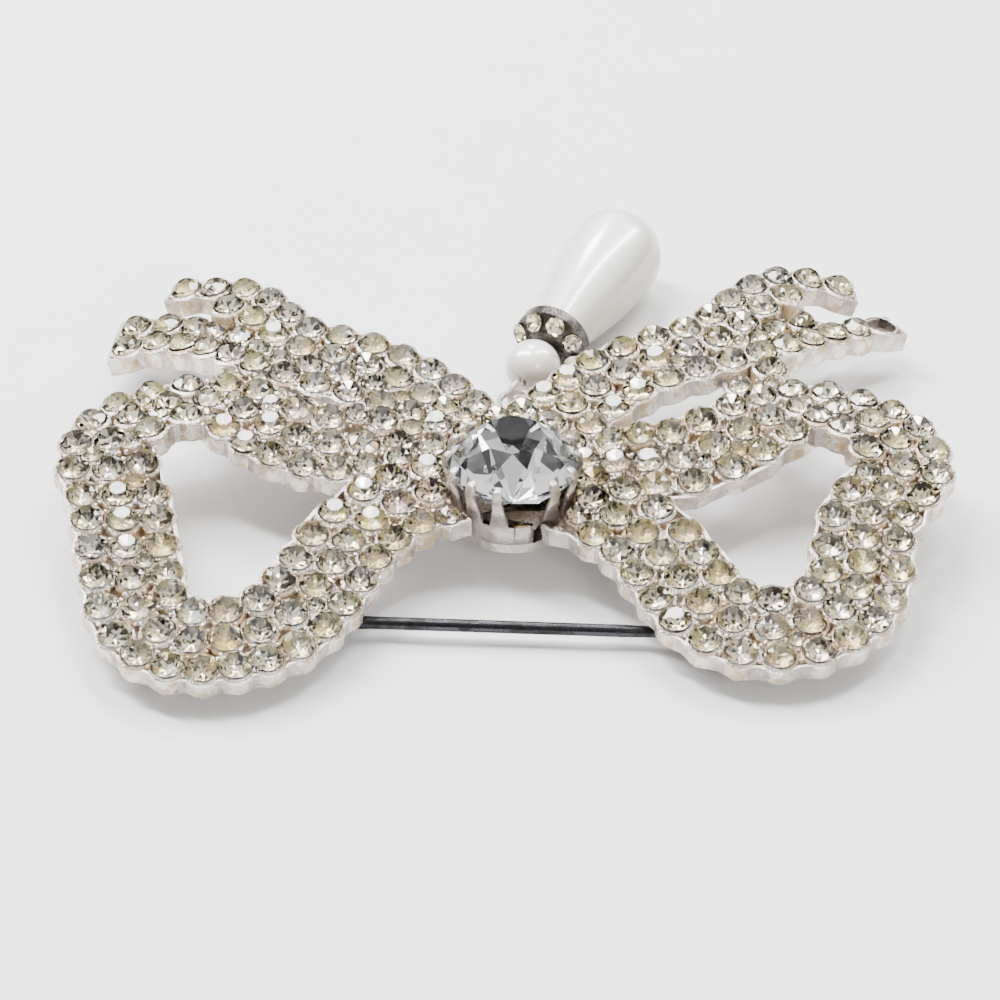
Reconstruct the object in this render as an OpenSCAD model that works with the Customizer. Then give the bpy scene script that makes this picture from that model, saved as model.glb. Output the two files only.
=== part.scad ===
// Bow brooch: two ribbon loops and two forked tails set with rows of small
// cut stones, a large round stone in a clawed cup as the knot, a pin on the
// back, and a pearl drop. The brooch lies on its back. The loops open to the
// two sides, and the tails and the drop point towards +Y.

/* [Bow] */
// Width over the middle lines of the two loops
bow_w = 78; // [70:1:92]
// Length from the near bends to the tips of the tails
bow_l = 60; // [54:1:70]
// Height of the ribbons where they are highest
crest = 9.4; // [9:0.1:11]

/* [Ribbon] */
// Thickness of a ribbon from rim to back
ribbon_t = 1.9; // [1.6:0.1:2.2]
// Width of the rim round the outer stones
rim_w = 0.33; // [0.25:0.01:0.6]
// Depth of the trough that holds the stones
trough = 0.95; // [0.9:0.05:1.1]
// Distance between two rows of stones
row_gap = 3.25; // [3.1:0.05:3.6]

/* [Small stones] */
// Diameter of a small stone
stone_d = 2.8; // [2.5:0.1:2.9]
// Height of a small stone's crown
stone_crown = 0.75; // [0.5:0.05:1]
// Depth of a small stone below its girdle
stone_deep = 0.85; // [0.6:0.05:0.9]

/* [Knot] */
// Diameter of the large stone
gem_d = 12.4; // [11.4:0.1:12.8]
// Diameter of its table, corner to corner
gem_table = 6.7; // [5.6:0.1:7.4]
// Height of its crown
gem_crown = 3.4; // [2.8:0.1:3.8]
// Depth of its pavilion
gem_deep = 4.6; // [4:0.1:4.9]
// Height of its girdle above the table top
gem_z = 10; // [9.8:0.1:11]
// Outer diameter of the foot of its cup
cup_d = 11.2; // [10.6:0.1:11.6]
// Height of the solid ring of the cup
cup_h = 2.4; // [1.8:0.1:2.6]
// Height of the underside of the cup
cup_z = 4.3; // [4.1:0.1:4.6]
// Number of claws
claws = 14; // [10:1:16]
// Width of a claw at the foot
claw_w = 1.6; // [1.1:0.05:1.8]
// Width of a claw at the tip
tip_w = 0.95; // [0.7:0.05:1.1]

/* [Pin] */
// Diameter of the stem
stem_d = 1.2; // [1:0.05:1.3]
// Height of the stem's axis
stem_z = 1.7; // [1.65:0.05:1.8]
// Distance of the hinge from the middle, to the left
hinge_x = 18.4; // [17.6:0.2:19.4]
// Distance of the catch from the middle, to the right
catch_x = 18.2; // [17.6:0.2:19.4]
// Distance of the stem in front of the knot
stem_y = 14.5; // [14:0.1:15]
// Turn of the stem seen from above, degrees
stem_turn = -3; // [-4:0.5:0]
// Gap round the rivet of the hinge
rivet_play = 0.05; // [0.02:0.01:0.09]

/* [Drop] */
// Diameter of the round pearl
pearl_d = 5.6; // [5:0.1:6.2]
// Diameter of the stone-set washer
washer_d = 7.8; // [7:0.1:8.6]
// Thickness of the washer's flat part
washer_t = 1.2; // [1:0.1:1.6]
// Number of stones round the washer
washer_n = 8; // [6:1:8]
// Diameter of the pear pearl
pear_d = 10.3; // [9.4:0.1:11]
// Length of the pear pearl
pear_l = 19.6; // [17:0.2:22]
// Diameter of its narrow end
pear_neck = 5.4; // [4.6:0.2:6.4]
// Diameter of the drop's wire
wire_d = 0.7; // [0.6:0.05:0.8]
// Angle between the drop and the middle line, degrees
drop_turn = 25; // [22:0.5:28]

/* [Hidden] */
$fn = 96;
silver = [0.76, 0.72, 0.70];
crystal = [0.93, 0.93, 0.88];
dark_steel = [0.16, 0.16, 0.18];
old_silver = [0.34, 0.31, 0.28];
nacre = [0.95, 0.94, 0.90];

half_w = bow_w / 2;
stone_r = stone_d / 2;
// Gap between a stone and the rim, and between two stones
seat_gap = 0.17;
well_r = stone_r + seat_gap;
edge_r = well_r + rim_w;
// A stone's point stands this far above the floor of its trough
floor_gap = 0.3;
// Height of a stone's girdle above the rim
girdle_up = stone_deep + floor_gap - trough;
// Aimed distance from stone to stone along a row
pitch = stone_d + 0.52;
// Height to which a trough is cut free
above = 2.2;
coarse = 12;

// Middle lines of the ribbons, read from the knot outwards, with the left half
// mirrored to the right. Columns: x as a share of half the width, y as a share
// of the length, z as a share of the crest, and the roll in degrees that lifts
// the left-hand edge.
LOOP_R = [
    [0.09, -0.010, 0.78, 4],
    [0.20, -0.050, 0.77, 8],
    [0.31, -0.105, 0.71, 8],
    [0.39, -0.185, 0.62, 8],
    [0.46, -0.260, 0.55, 10],
    [0.56, -0.300, 0.51, 13],
    [0.68, -0.300, 0.51, 13],
    [0.79, -0.255, 0.54, 9],
    [0.84, -0.185, 0.62, 3],
    [0.85, -0.110, 0.72, 0],
    [0.90, -0.045, 0.83, 0],
    [0.96, 0.025, 0.92, 4],
    [0.93, 0.098, 0.98, 8],
    [0.83, 0.150, 1.00, 12],
    [0.725, 0.165, 0.99, 8],
    [0.63, 0.138, 0.97, -2],
    [0.53, 0.088, 0.94, -10],
    [0.42, 0.052, 0.89, -12],
    [0.31, 0.048, 0.84, -8],
    [0.20, 0.055, 0.79, -4],
    [0.09, 0.050, 0.77, 0]
];
LOOP_L = [
    [0.09, -0.005, 0.78, 4],
    [0.20, -0.015, 0.77, 8],
    [0.31, -0.055, 0.73, 8],
    [0.40, -0.125, 0.66, 8],
    [0.465, -0.215, 0.59, 10],
    [0.55, -0.294, 0.522, 13],
    [0.675, -0.333, 0.505, 13],
    [0.795, -0.330, 0.51, 12],
    [0.88, -0.280, 0.55, 8],
    [0.915, -0.190, 0.65, 2],
    [0.94, -0.105, 0.75, 0],
    [0.965, -0.030, 0.84, 0],
    [1.00, 0.045, 0.94, 3],
    [0.97, 0.115, 0.99, 8],
    [0.88, 0.165, 1.00, 12],
    [0.77, 0.185, 0.98, 8],
    [0.68, 0.165, 0.97, 0],
    [0.575, 0.115, 0.94, -8],
    [0.465, 0.090, 0.89, -12],
    [0.32, 0.100, 0.83, -8],
    [0.20, 0.105, 0.78, -4],
    [0.09, 0.085, 0.77, 0]
];
// Each tail is two ribbons side by side that part at the fork. The far one
// follows its outermost row, and the near one its innermost row.
FAR_R = [
    [0.013, 0.187, 0.78, 0],
    [0.07, 0.235, 0.79, 0],
    [0.13, 0.278, 0.81, 0],
    [0.19, 0.317, 0.84, 0],
    [0.26, 0.345, 0.88, 0],
    [0.36, 0.370, 0.94, 0],
    [0.45, 0.392, 0.965, 0],
    [0.525, 0.435, 0.98, 0],
    [0.59, 0.492, 0.975, 0],
    [0.67, 0.537, 0.96, 0],
    [0.755, 0.562, 0.87, 0],
    [0.86, 0.568, 0.73, 0]
];
NEAR_R = [
    [0.13, 0.098, 0.77, 0],
    [0.195, 0.157, 0.79, 0],
    [0.26, 0.202, 0.82, 0],
    [0.325, 0.240, 0.87, 0],
    [0.40, 0.262, 0.92, 0],
    [0.487, 0.282, 0.96, 0],
    [0.574, 0.305, 0.97, 0],
    [0.653, 0.333, 0.94, 0],
    [0.73, 0.375, 0.85, 0],
    [0.81, 0.422, 0.74, 0],
    [0.895, 0.463, 0.63, 0],
    [0.974, 0.494, 0.54, 0]
];
FAR_L = [
    [0.03, 0.170, 0.77, 0],
    [0.095, 0.220, 0.79, 0],
    [0.15, 0.266, 0.80, 0],
    [0.218, 0.308, 0.83, 0],
    [0.288, 0.335, 0.87, 0],
    [0.365, 0.358, 0.92, 0],
    [0.45, 0.374, 0.95, 0],
    [0.52, 0.390, 0.97, 0],
    [0.57, 0.425, 0.98, 0],
    [0.625, 0.470, 0.98, 0],
    [0.70, 0.507, 0.96, 0],
    [0.78, 0.527, 0.88, 0],
    [0.86, 0.545, 0.79, 0]
];
NEAR_L = [
    [0.125, 0.077, 0.735, 0],
    [0.20, 0.128, 0.762, 0],
    [0.267, 0.175, 0.805, 0],
    [0.345, 0.210, 0.855, 0],
    [0.433, 0.227, 0.910, 0],
    [0.515, 0.243, 0.945, 0],
    [0.60, 0.270, 0.965, 0],
    [0.68, 0.305, 0.945, 0],
    [0.76, 0.353, 0.855, 0],
    [0.846, 0.398, 0.725, 0],
    [0.928, 0.430, 0.605, 0],
    [1.007, 0.437, 0.515, 0]
];

// Rows of stones. Columns: place across the ribbon, the stations at which
// stones sit, with longer steps filled up evenly, and the number of seats at
// the end of the row that have lost their stone.
LOOP_ROWS_R = [
    [-1, [0.6, 1.4, 2.1, 2.75, 3.4, 3.9, 4.45, 5.0, 5.55, 6.1, 6.6, 7.05,
        7.5, 8.1, 8.85, 9.7, 10.45, 15.3, 16.15, 17.05, 17.9, 18.65, 19.4], 0],
    [0, [0.65, 1.45, 2.05, 2.6, 3.2, 3.9, 4.65, 5.45, 6.2, 6.85, 7.5, 8.2,
        8.85, 9.55, 10.25, 14.9, 15.58, 16.28, 17.02, 17.78, 18.5, 19.25], 0],
    [1, [0.6, 1.25, 1.85, 2.42, 2.94, 3.47, 4.4, 5.5, 6.7, 7.72, 8.6, 9.25,
        9.95, 11.6, 12.7, 13.6, 14.8, 15.65, 16.3, 17.0, 17.65, 18.3, 19.05, 19.8], 0]
];
LOOP_ROWS_L = [
    [-1, [0.7, 1.6, 2.4, 3.02, 3.62, 4.12, 4.6, 5.05, 5.5, 5.95, 6.42, 6.89,
        7.36, 7.84, 8.35, 8.95, 9.6, 10.35, 11.08, 16.0, 17.0, 18.0, 19.0,
        20.0], 0],
    [0, [1.0, 1.7, 2.35, 2.95, 3.5, 4.05, 4.75, 5.4, 6.0, 6.65, 7.4, 8.15,
        8.8, 9.5, 10.2, 10.9, 11.6, 16.1, 16.75, 17.4, 18.07, 18.67, 19.3,
        20.0], 0],
    [1, [0.9, 1.5, 2.0, 2.6, 3.15, 3.7, 4.28, 5.0, 5.85, 6.85, 8.05, 8.8,
        9.45, 10.15, 10.8, 16.1, 16.7, 17.2, 17.75, 18.2, 18.67, 19.3, 20.0], 0]
];
FAR_ROWS_R = [[0, [0.3, 11.0], 0], [-1, [0.3, 9.0], 0]];
FAR_ROWS_L = [[0, [0.2, 11.9], 0], [-1, [0.3, 9.9], 0]];
NEAR_ROWS_R = [[0, [0.3, 10.9], 1], [1, [6.2, 8.9], 0]];
NEAR_ROWS_L = [[0, [0.3, 10.9], 0], [1, [5.9, 10.7], 0]];
NEAR_EDGE_R = [1, [0.3, 8.9], 0];
NEAR_EDGE_L = [1, [0.3, 10.7], 0];

// Each ribbon is [middle line, rows of stones, left edge row, right edge row]
RIGHT = [
    [LOOP_R, LOOP_ROWS_R, LOOP_ROWS_R[2], LOOP_ROWS_R[0]],
    [FAR_R, FAR_ROWS_R, FAR_ROWS_R[0], FAR_ROWS_R[1]],
    [NEAR_R, NEAR_ROWS_R, NEAR_EDGE_R, NEAR_ROWS_R[0]]
];
LEFT = [
    [LOOP_L, LOOP_ROWS_L, LOOP_ROWS_L[2], LOOP_ROWS_L[0]],
    [FAR_L, FAR_ROWS_L, FAR_ROWS_L[0], FAR_ROWS_L[1]],
    [NEAR_L, NEAR_ROWS_L, NEAR_EDGE_L, NEAR_ROWS_L[0]]
];

// A point of the smooth curve through the stations of a route
function along(route, u) =
    let(
        n = len(route) - 1,
        i = max(0, min(floor(u), n - 1)),
        t = u - i,
        a = route[max(i - 1, 0)],
        b = route[i],
        c = route[i + 1],
        d = route[min(i + 2, n)]
    )
    0.5 * (2 * b + (c - a) * t + (2 * a - 5 * b + 4 * c - d) * t * t
        + (3 * b - a - 3 * c + d) * t * t * t);
function unit(v) = v / norm(v);
function mid(route, u) =
    let(q = along(route, u))
    [q[0] * half_w, q[1] * bow_l, q[2] * crest];
function way(route, u) = unit(mid(route, u + 0.05) - mid(route, u - 0.05));
function across(route, u) =
    let(
        t = way(route, u),
        level = unit([-t.y, t.x, 0]),
        roll = along(route, u)[3]
    )
    level * cos(roll) + cross(t, level) * sin(roll);
function up(route, u) = cross(way(route, u), across(route, u));
function on_row(route, u, k) = mid(route, u) + across(route, u) * k * row_gap;

// Lengths along a row at its stations, for lookup() in both directions
fine = 8;
function lengths(route, k) =
    let(
        n = (len(route) - 1) * fine,
        q = [for (i = [0 : n]) on_row(route, i / fine, k)],
        d = [for (i = [0 : n]) i < n ? norm(q[i + 1] - q[i]) : 0]
    )
    [for (i = 0, s = 0; i <= n; s = s + d[i], i = i + 1) [i / fine, s]];
function stations(route, k) = [for (t = lengths(route, k)) [t[1], t[0]]];

// Places of the seats of a row, as lengths along it
function seats(route, row) =
    let(
        table = lengths(route, row[0]),
        s = [for (u = row[1]) lookup(u, table)],
        last = len(s) - 1
    )
    concat(
        [for (i = [0 : last - 1])
            let(step = s[i + 1] - s[i], n = max(1, floor(step / pitch + 0.05)))
            for (j = [0 : n - 1]) s[i] + step * j / n],
        [s[last]]
    );

// The stones of a ribbon, each as [centre, direction along, direction up]
function stones_of(route, rows) =
    [for (row = rows)
        let(s = seats(route, row), table = stations(route, row[0]))
        for (i = [0 : len(s) - 1 - row[2]])
            let(u = lookup(s[i], table), n = up(route, u))
            [on_row(route, u, row[0]) + n * girdle_up, way(route, u), n]];

// A stone is left out under the knot or where another one already lies, and
// where one ribbon passes closely over another
knot_clear = 0;
stone_gap = 0.1;
stack_share = 0.8;
function flat(p) = [p.x, p.y];
function is_free(s, kept) =
    norm(flat(s[0])) > gem_d / 2 + stone_r + knot_clear
        && len([for (o = kept) if (norm(s[0] - o[0]) < stone_d + stone_gap) 1]) == 0
        && len([for (o = kept)
            if (norm(flat(s[0] - o[0])) < stack_share * stone_d) 1]) == 0;
function settle(all, kept = [], i = 0) =
    i == len(all) ? kept
        : settle(all, is_free(all[i], kept) ? concat(kept, [all[i]]) : kept, i + 1);
function field(half) = settle([for (b = half, s = stones_of(b[0], b[1])) s]);
STONES_R = field(RIGHT);
STONES_L = field(LEFT);

// How far an edge row has handed the edge over to the row on the other side,
// which it does before its first and after its last stone
hand_after = 0.2;
hand_over = 0.5;
function handed(u, own, other) =
    let(
        a = own[1][0],
        z = own[1][len(own[1]) - 1],
        early = other[1][0] < a - hand_over ? (a - hand_after - u) / hand_over : 0,
        late = other[1][len(other[1]) - 1] > z + hand_over
            ? (u - z - hand_after) / hand_over : 0
    )
    min(1, max(0, early, late));

// Width of a scalloped edge beyond its row, at length s, with seats at list
bay_least = 0.72;
function bay(s, list, r) =
    let(d = min([for (q = list) abs(s - q)]), least = bay_least * r)
    sqrt(max(r * r - d * d, least * least));

// An edge stops this far short of the centre of a tight bend
bend_gap = 0.35;
function bend(route, u, side) =
    let(
        turn = cross(way(route, u - 0.15), way(route, u + 0.15)).z * side,
        step = norm(mid(route, u + 0.15) - mid(route, u - 0.15))
    )
    turn > 0.001 ? step / turn : 99;
function room(route, u, side) =
    let(last = len(route) - 1.2)
    min([for (e = [-0.35, 0, 0.35]) bend(route, max(0.2, min(last, u + e)), side)])
        - bend_gap;

// An edge row with its lengths and its seats
function with_tables(route, row) = [row, lengths(route, row[0]), seats(route, row)];
function edge(route, u, own, other, side, r) =
    let(
        h = handed(u, own[0], other[0]),
        k = own[0][0] + (other[0][0] - own[0][0]) * h,
        row = h > 0.5 ? other : own,
        reach = k * side * row_gap + bay(lookup(u, row[1]), row[2], r)
    )
    mid(route, u) + across(route, u) * side * min(reach, room(route, u, side) + r - edge_r);

// Lengths along the leading row at which a ribbon has a cross section
cuts_per_stone = 2;
function cuts(s, r) =
    let(m = len(s) - 1)
    concat(
        [s[0] - r, s[0] - 0.6 * r],
        [for (i = [0 : m - 1], q = [0 : cuts_per_stone - 1])
            s[i] + (s[i + 1] - s[i]) * q / cuts_per_stone],
        [s[m], s[m] + 0.6 * r, s[m] + r]
    );
function sections(b, r, low, high) =
    let(
        route = b[0],
        lead = b[1][0],
        table = stations(route, lead[0]),
        total = table[len(table) - 1][0],
        a = with_tables(route, b[2]),
        z = with_tables(route, b[3])
    )
    [for (s = cuts(seats(route, lead), r))
        let(
            u = lookup(s, table),
            on = way(route, u) * (max(0, s - total) + min(0, s)),
            n = up(route, u),
            left = edge(route, u, a, z, 1, r) + on,
            right = edge(route, u, z, a, -1, r) + on
        )
        [right + n * low, right + n * high, left + n * high, left + n * low]];

// A closed skin over a list of four-cornered cross sections
module tube(list) {
    n = len(list) - 1;
    faces = concat(
        [[3, 2, 1, 0]],
        [for (i = [0 : n - 1], j = [0 : 3])
            [i * 4 + j, i * 4 + (j + 1) % 4, (i + 1) * 4 + (j + 1) % 4]],
        [for (i = [0 : n - 1], j = [0 : 3])
            [i * 4 + j, (i + 1) * 4 + (j + 1) % 4, (i + 1) * 4 + j]],
        [[n * 4, n * 4 + 1, n * 4 + 2, n * 4 + 3]]
    );
    polyhedron([for (c = list, p = c) p], faces);
}
// A ribbon is skinned in two lengths, as the ends of a loop cross at the knot
module skin(list) {
    n = len(list) - 1;
    middle = floor(n / 2);
    tube([for (i = [0 : middle]) list[i]]);
    tube([for (i = [middle : n]) list[i]]);
}

// The origin lies under the middle of the whole brooch
function reach_x(half) = max([for (c = sections(half[0], edge_r, 0, 0), p = c) p.x]);
function reach_y(half) = min([for (c = sections(half[0], edge_r, 0, 0), p = c) p.y]);
mid_x = (reach_x(RIGHT) - reach_x(LEFT)) / 2;
low_y = min(reach_y(RIGHT), reach_y(LEFT));

// The drop: distances along its axis from the middle of the round pearl
pearl_r = pearl_d / 2;
washer_r = washer_d / 2;
pear_r = pear_d / 2;
wire_r = wire_d / 2;
drop_tilt = 4;
nest_gap = 0.12;
washer_s = pearl_r + nest_gap;
washer_lip = 1.15;
pear_s = washer_s + washer_lip + washer_t + nest_gap;
bulb_s = pear_s + pear_l - pear_r;
PEAR = concat(
    [for (i = [0 : 12])
        let(q = i / 12)
        [pear_neck / 2 + (pear_r - pear_neck / 2) * sin(90 * q),
            pear_s + (bulb_s - pear_s) * q]],
    [for (w = [6 : 6 : 84]) [pear_r * cos(w), bulb_s + pear_r * sin(w)]]
);
drop_x = 2.1;
drop_y = 24.4;
drop_z = max(concat(
    [for (p = PEAR) p[0] * cos(drop_tilt) - p[1] * sin(drop_tilt)],
    [washer_r * cos(drop_tilt) - (washer_s + washer_lip) * sin(drop_tilt)]
));
high_y = drop_y + cos(drop_turn) * (bulb_s * cos(drop_tilt)) + pear_r;
mid_y = (high_y + low_y) / 2;

module place() {
    translate([-mid_x, -mid_y, 0]) children();
}
module drop_frame() {
    translate([drop_x, drop_y, drop_z]) rotate([0, 0, -drop_turn])
        rotate([drop_tilt - 90, 0, 0]) children();
}

// Small cut stones, each with a table, a crown, a girdle and a point below
facets = 8;
table_share = 0.56;
function cut_points(s, r, crown, deep) =
    let(a = s[1], n = s[2], b = cross(n, a))
    concat(
        [s[0] - n * deep],
        [for (i = [0 : facets - 1])
            let(w = 360 * i / facets)
            s[0] + (a * cos(w) + b * sin(w)) * r],
        [for (i = [0 : facets - 1])
            let(w = 360 * (i + 0.5) / facets)
            s[0] + (a * cos(w) + b * sin(w)) * r * table_share + n * crown]
    );
function cut_faces(k) =
    let(g = k + 1, t = k + 1 + facets)
    concat(
        [for (i = [0 : facets - 1]) [k, g + i, g + (i + 1) % facets]],
        [for (i = [0 : facets - 1]) [g + i, t + i, g + (i + 1) % facets]],
        [for (i = [0 : facets - 1])
            [g + (i + 1) % facets, t + i, t + (i + 1) % facets]],
        [[for (i = [facets - 1 : -1 : 0]) t + i]]
    );
module cut_stones(list, r, crown, deep) {
    each_has = 2 * facets + 1;
    polyhedron(
        [for (s = list, p = cut_points(s, r, crown, deep)) p],
        [for (i = [0 : len(list) - 1], f = cut_faces(i * each_has)) f]
    );
}

// A strut between two spots under the ribbons
strut_r = 1.3;
strut_h = 0.8;
module strut(p, q) {
    hull() {
        translate([p.x, p.y, p.z - ribbon_t]) cylinder(r = strut_r, h = strut_h, $fn = coarse);
        translate([q.x, q.y, q.z - ribbon_t]) cylinder(r = strut_r, h = strut_h, $fn = coarse);
    }
}
// The plate under the knot and its arms to the ribbons
plate_t = 1;
plate_r = cup_d / 2 - 0.2;
// The arms end this far above the underside of the plate
strut_up = 0.05;
module arm(p) {
    e = unit(flat(p)) * (plate_r - strut_r);
    strut(p, [e.x, e.y, cup_z - plate_t + strut_up + ribbon_t]);
}
// Pads under the loops for the two ends of the pin
eye_r = 1;
base_gap = 0.3;
base_t = 0.4;
base_l = 4.4;
base_w = 3.4;
pad_z = stem_z + eye_r + base_gap + base_t;
// The station of a loop above its pad
pad_at = 4;
module pin_frame() {
    translate([0, -stem_y, 0]) rotate([0, 0, stem_turn]) children();
}
pad_t = 0.2;
// A pad reaches this far into the metal under the trough
pad_in = 0.3;
module pad(x, top) {
    hull() {
        translate([x, 0, pad_z + pad_t / 2]) cube([base_l, base_w, pad_t], center = true);
        translate([x, 0, top]) cube([base_l, base_w, pad_t], center = true);
    }
}
module pad_room(x) {
    translate([x - base_l / 2 - base_gap, -base_w / 2 - base_gap, 0])
        cube([base_l + 2 * base_gap, base_w + 2 * base_gap, pad_z]);
}
// The loop of metal behind the knot that the drop hangs from
lug_x = 1.4;
lug_y = 13.3;
lug_z = 4.2;
lug_r = 1.45;
lug_t = 0.9;
lug_hole = 0.8;
// The lug grows up into the ribbon through a foot of this size
lug_up = 1.6;
lug_foot = [lug_t, 1.6, 0.3];
module lug() {
    translate([lug_x, lug_y, lug_z]) difference() {
        hull() {
            rotate([0, 90, 0]) cylinder(r = lug_r, h = lug_t, center = true, $fn = coarse);
            translate([0, 0, lug_up]) cube(lug_foot, center = true);
        }
        rotate([0, 90, 0]) cylinder(r = lug_hole, h = 2 * lug_t, center = true, $fn = coarse);
    }
}

module ribbons(half) {
    for (b = half) skin(sections(b, edge_r, -ribbon_t, 0));
}
module troughs(half) {
    for (b = half) skin(sections(b, well_r, -trough, above));
}
// The near row of a tail rests on the far bend of its loop, on two struts, the
// first between these stations of the loop and of the tail's near ribbon
BRIDGE_R = [14.2, 6.6];
BRIDGE_L = [14.8, 6.4];
bridge_step = 0.8;
module bridges(half, stands) {
    for (step = [0, bridge_step])
        strut(on_row(half[0][0], stands[0] + step, -1), mid(half[2][0], stands[1] - step));
}
// Stations of the arms, counted from the start of the loop, from its end, and
// from the start of the near row of the tail
START_ARMS = [1.2, 2];
END_ARMS = [1.4, 2.2];
TAIL_ARMS = [0.8, 1.6];
module arms(half) {
    end = len(half[0][0]) - 1;
    for (u = START_ARMS) arm(mid(half[0][0], u));
    for (u = END_ARMS) arm(mid(half[0][0], end - u));
    for (u = TAIL_ARMS) arm(mid(half[2][0], u));
}
// Room for the foot of the cup, and all that lies left of the middle line
foot_gap = 0.6;
high = 20;
far = 60;
module knot_room() {
    translate([0, 0, cup_z]) cylinder(r = cup_d / 2 + foot_gap, h = high, $fn = 32);
}
module left_side() {
    translate([-far, -far, 0]) cube([far, 2 * far + high, high]);
}

module bow_left() {
    color(silver) place() difference() {
        union() {
            mirror([1, 0, 0]) {
                ribbons(LEFT);
                arms(LEFT);
                bridges(LEFT, BRIDGE_L);
            }
            pin_frame() pad(-hinge_x, mid(LOOP_L, pad_at).z - trough - pad_in);
            translate([0, 0, cup_z - plate_t]) cylinder(r = plate_r, h = plate_t, $fn = 32);
        }
        mirror([1, 0, 0]) troughs(LEFT);
        pin_frame() pad_room(-hinge_x);
        knot_room();
        mirror([1, 0, 0]) left_side();
    }
}
module bow_right() {
    color(silver) place() difference() {
        union() {
            ribbons(RIGHT);
            arms(RIGHT);
            bridges(RIGHT, BRIDGE_R);
            lug();
            pin_frame() pad(catch_x, mid(LOOP_R, pad_at).z - trough - pad_in);
            translate([0, 0, cup_z - plate_t]) cylinder(r = plate_r, h = plate_t, $fn = 32);
        }
        troughs(RIGHT);
        pin_frame() pad_room(catch_x);
        knot_room();
        left_side();
    }
}
module stones_left() {
    color(crystal) place() mirror([1, 0, 0])
        cut_stones(STONES_L, stone_r, stone_crown, stone_deep);
}
module stones_right() {
    color(crystal) place() cut_stones(STONES_R, stone_r, stone_crown, stone_deep);
}

// The cup of the knot: a foot ring with a floor, and claws over the stone
cup_wall = 0.8;
cup_floor = 0.5;
cup_flare = 0.3;
claw_t = 0.5;
// A claw stands in the ring's wall, between these distances from its edge
claw_out = 0.12;
claw_in = 0.68;
module cup_ring() {
    r = cup_d / 2;
    rotate_extrude() polygon([
        [0, cup_z],
        [r, cup_z],
        [r + cup_flare, cup_z + cup_h],
        [r + cup_flare - cup_wall, cup_z + cup_h],
        [r - cup_wall, cup_z + cup_floor],
        [0, cup_z + cup_floor]
    ]);
}
claw_root = 0.3;
// Its outline over the stone. Columns: distance out from the edge of the
// stone, and height above the girdle.
CLAW_TOP = [
    [0.57, 0.5], [0.1, 1.15], [-0.45, 1.5], [-0.7, 1.15], [0.14, 0.2], [0.14, -0.35]
];
claw_gap = 0.12;
// Side view of a claw as a closed outline of distance and height
function claw_side() =
    let(
        r = cup_d / 2 + cup_flare,
        z = cup_z + cup_h,
        g = gem_d / 2,
        out = g + claw_gap + claw_t,
        mid_z = (z + gem_z) / 2
    )
    concat(
        [
            [r - claw_in, z - claw_root],
            [r - claw_out, z - claw_root],
            [r - claw_out, z],
            [r + (out - r) * 0.55 - claw_out, mid_z],
            [out, gem_z]
        ],
        [for (p = CLAW_TOP) [g + p[0], gem_z + p[1]]],
        [[r - claw_t + (out - r) * 0.5, mid_z]]
    );
module claw() {
    g = gem_z + 2;
    intersection() {
        rotate([90, 0, 0]) linear_extrude(claw_w, center = true) polygon(claw_side());
        translate([cup_d / 4, 0, 0]) rotate([90, 0, 90]) linear_extrude(gem_d) polygon([
            [-claw_w / 2, 0],
            [claw_w / 2, 0],
            [claw_w / 2, cup_z + cup_h],
            [tip_w / 2, gem_z - 0.5],
            [tip_w / 2, g],
            [-tip_w / 2, g],
            [-tip_w / 2, gem_z - 0.5],
            [-claw_w / 2, cup_z + cup_h]
        ]);
    }
}
module knot_cup() {
    color(silver) place() {
        cup_ring();
        for (i = [0 : claws - 1]) rotate([0, 0, 360 * (i + 0.5) / claws - 90]) claw();
    }
}

// The knot stone, with a corner of its table towards the front
girdle_t = 0.25;
star_share = 0.79;
module knot_stone() {
    g = gem_d / 2;
    t = gem_table / 2;
    s = g * star_share;
    star_z = gem_crown - (s * cos(22.5) - t) * gem_crown / (g - t);
    points = concat(
        [for (i = [0 : 7]) [t * cos(45 * i), t * sin(45 * i), gem_crown]],
        [for (i = [0 : 7]) [s * cos(45 * i + 22.5), s * sin(45 * i + 22.5), star_z]],
        [for (i = [0 : 15]) [g * cos(22.5 * i), g * sin(22.5 * i), 0]],
        [for (i = [0 : 15]) [g * cos(22.5 * i), g * sin(22.5 * i), -girdle_t]],
        [[0, 0, -gem_deep]]
    );
    faces = concat(
        [[for (i = [7 : -1 : 0]) i]],
        [for (i = [0 : 7]) [i, (i + 1) % 8, 8 + i]],
        [for (i = [0 : 7]) [i, 8 + i, 16 + 2 * i]],
        [for (i = [0 : 7]) [i, 16 + 2 * i, 8 + (i + 7) % 8]],
        [for (i = [0 : 7]) [8 + i, 17 + 2 * i, 16 + 2 * i]],
        [for (i = [0 : 7]) [8 + i, 16 + (2 * i + 2) % 16, 17 + 2 * i]],
        [for (i = [0 : 15]) [16 + i, 16 + (i + 1) % 16, 32 + i]],
        [for (i = [0 : 15]) [16 + (i + 1) % 16, 32 + (i + 1) % 16, 32 + i]],
        [for (i = [0 : 15]) [32 + i, 32 + (i + 1) % 16, 48]]
    );
    color(crystal) place() translate([0, 0, gem_z]) rotate([0, 0, -90])
        polyhedron(points, faces);
}

// The pin. Its hinge is a bracket of two cheeks with a rivet across.
eye_w = 1.3;
rivet_r = 0.5;
cheek_t = 0.55;
cheek_gap = 0.15;
cheek_r = 1.7;
rivet_head = 0.2;
cheek_cut = 0.8;
stem_r = stem_d / 2;
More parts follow.
